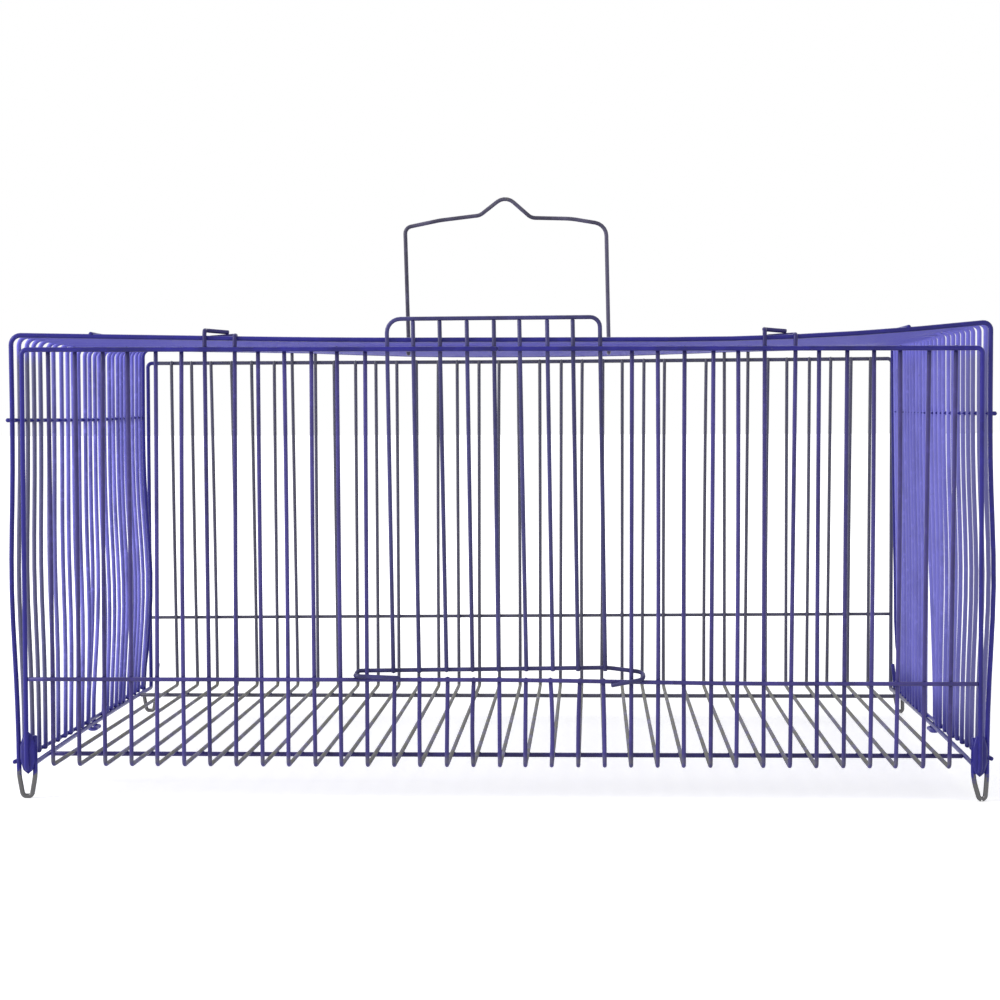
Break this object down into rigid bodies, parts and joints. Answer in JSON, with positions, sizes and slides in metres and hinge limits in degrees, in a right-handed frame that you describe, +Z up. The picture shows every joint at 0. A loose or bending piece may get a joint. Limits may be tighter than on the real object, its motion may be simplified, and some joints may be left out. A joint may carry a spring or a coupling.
{
  "type": "travel cage",
  "caption": "Blue coated wire travel cage for poultry: a cradle makes the floor and long sides, a cover with loop feet the top and ends, with a sliding front door and a swinging bail handle.",
  "frame": {"origin": "on the ground under the middle of the cage's box, where the foot loops stand", "axes": "+X along the length, to the right seen from the front; the front with the door faces -Y; +Z up"},
  "size_m": [0.6088, 0.4144, 0.3903],
  "materials": {
    "cradle_wire": "blue-violet coating, satin gloss",
    "cover_wire": "blue-violet coating, satin gloss",
    "door_wire": "blue-violet coating, satin gloss",
    "handle_wire": "blue-violet coating, satin gloss, worn at the top"
  },
  "bodies": {
    "cage": {"left_edge_frame": "cradle_wire", "right_edge_frame": "cradle_wire", "left_grid_wires": "cradle_wire", "right_grid_wires": "cradle_wire", "doorway_grid_wires": "cradle_wire", "left_guide_wire": "cradle_wire", "right_guide_wire": "cradle_wire", "left_tie_wires": "cradle_wire", "right_tie_wires": "cradle_wire", "front_rail": "cradle_wire", "back_rail": "cradle_wire", "front_floor_runner": "cradle_wire", "back_floor_runner": "cradle_wire", "front_foot_wire": "cover_wire", "back_foot_wire": "cover_wire", "front_cover_wires": "cover_wire", "back_cover_wires": "cover_wire", "middle_tie_wires": "cover_wire", "left_bottom_edge": "cover_wire", "right_bottom_edge": "cover_wire", "left_end_brace": "cover_wire", "right_end_brace": "cover_wire", "left_top_brace": "cover_wire", "right_top_brace": "cover_wire"},
    "door": {"door_frame": "door_wire", "door_bottom_bar": "door_wire", "door_bar_1": "door_wire", "door_bar_2": "door_wire", "door_bar_3": "door_wire", "door_bar_4": "door_wire", "door_bar_5": "door_wire", "door_bar_6": "door_wire", "door_bar_7": "door_wire"},
    "handle": {"handle": "handle_wire"}
  },
  "joints": [
    {"name": "door_slide", "type": "slide", "parent": "cage", "child": "door", "axis": [0, 0, 1], "range_m": [0, 0.198]},
    {"name": "handle_swing", "type": "hinge", "parent": "cage", "child": "handle", "pos_m": [0, -0.0068, 0.2846], "axis": [1, 0, 0], "range_deg": [-69, 90]}
  ]
}
